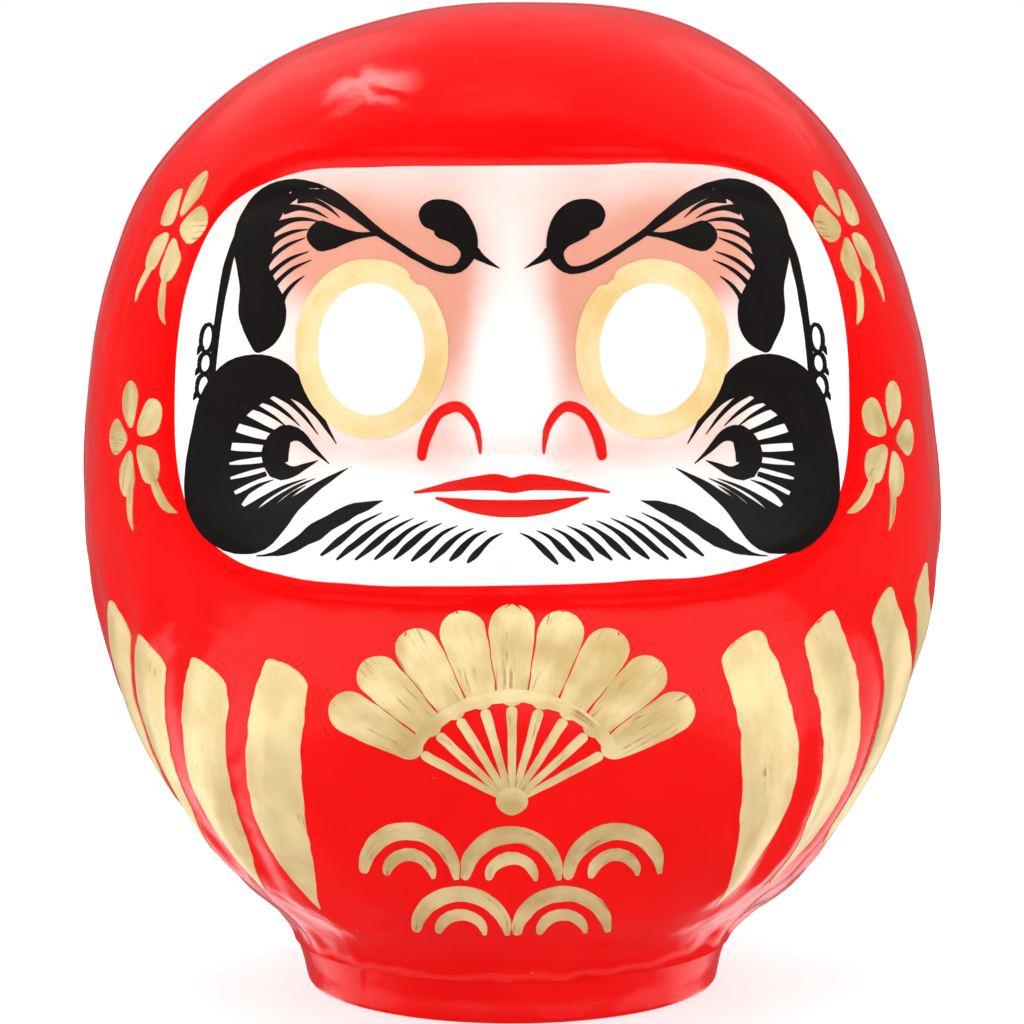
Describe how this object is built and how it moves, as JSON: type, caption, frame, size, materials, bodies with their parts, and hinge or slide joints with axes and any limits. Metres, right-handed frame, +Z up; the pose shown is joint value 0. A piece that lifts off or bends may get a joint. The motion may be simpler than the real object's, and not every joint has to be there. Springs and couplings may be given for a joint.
{
  "type": "daruma doll",
  "caption": "Round hollow red lacquered papier-mache daruma doll with a sunken pale face, brushed black brows, gold fold lines and a clay-weighted foot.",
  "frame": {"origin": "middle of the flat underside of the foot", "axes": "+Z up through the crown, -Y out of the face, +X to the doll's own left"},
  "size_m": [0.26, 0.2613, 0.3],
  "materials": {
    "red_lacquer": "gloss",
    "red_lacquered_paper": "gloss",
    "face_paint": "satin",
    "eye_white": "satin",
    "ink_black": "satin",
    "lip_red": "satin",
    "gold_paint": "satin",
    "raw_paper": "matte",
    "raw_clay": "matte"
  },
  "bodies": {
    "root": {"front_shell": "red_lacquer", "back_shell": "red_lacquer", "seam_strip": "red_lacquered_paper", "neck_strip": "red_lacquered_paper", "foot_cup": "red_lacquer", "clay_weight": "raw_clay", "base_paper": "raw_paper", "face_ground": "face_paint", "left_eye": "eye_white", "right_eye": "eye_white", "left_eye_ring": "gold_paint", "right_eye_ring": "gold_paint", "left_brow": "ink_black", "right_brow": "ink_black", "left_whisker": "ink_black", "right_whisker": "ink_black", "left_moustache": "ink_black", "right_moustache": "ink_black", "left_nostril": "lip_red", "right_nostril": "lip_red", "mouth": "lip_red", "left_gold_folds": "gold_paint", "right_gold_folds": "gold_paint", "gold_fan": "gold_paint", "gold_waves": "gold_paint", "left_gold_blossoms": "gold_paint", "right_gold_blossoms": "gold_paint"}
  },
  "joints": []
}
